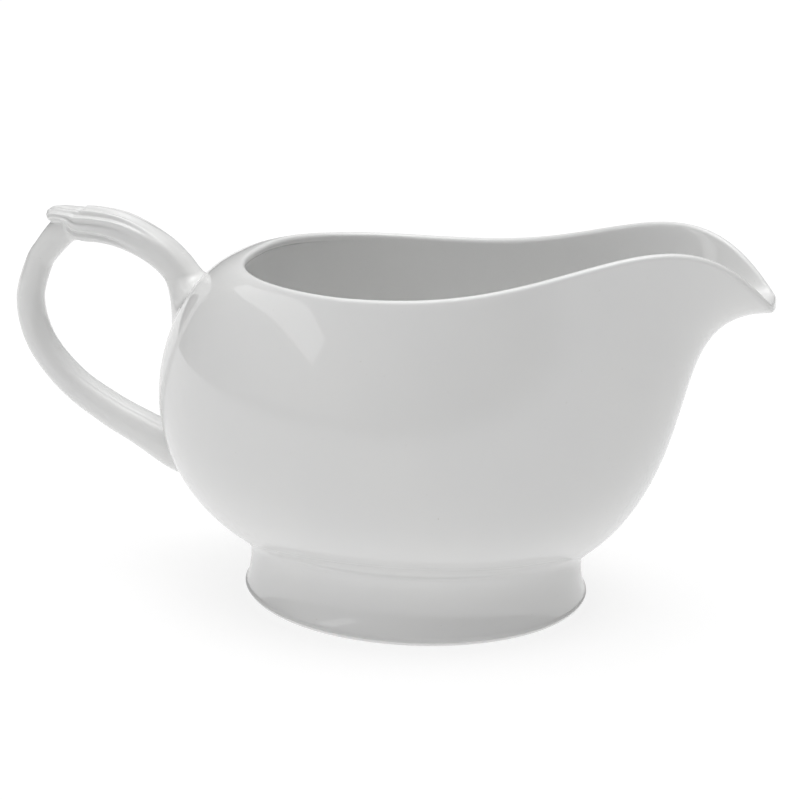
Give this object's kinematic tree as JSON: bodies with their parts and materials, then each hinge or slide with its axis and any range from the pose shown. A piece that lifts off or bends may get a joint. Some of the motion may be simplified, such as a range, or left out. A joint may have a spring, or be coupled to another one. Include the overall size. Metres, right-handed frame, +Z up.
{
  "type": "gravy boat",
  "caption": "White glazed gravy boat with an oval pear-shaped bowl, a raised pouring lip, a flared oval foot and a loop handle with a ribbed leaf thumb rest",
  "frame": {"origin": "the middle of the foot, on the table plane", "axes": "+X toward the pouring lip, -X toward the handle, +Y to the left of the lip, +Z up; the plane y = 0 is the plane of symmetry"},
  "size_m": [0.2195, 0.1066, 0.1073],
  "materials": {
    "bowl_glaze": "glossy white glaze",
    "foot_glaze": "glossy white glaze, unglazed where it stands",
    "handle_glaze": "glossy white glaze",
    "slip_glaze": "glossy white glaze pooled over fired slip"
  },
  "bodies": {
    "root": {"bowl": "bowl_glaze", "foot_ring": "foot_glaze", "handle": "handle_glaze", "foot_joint": "slip_glaze", "upper_handle_joint": "slip_glaze", "lower_handle_joint": "slip_glaze"}
  },
  "joints": []
}
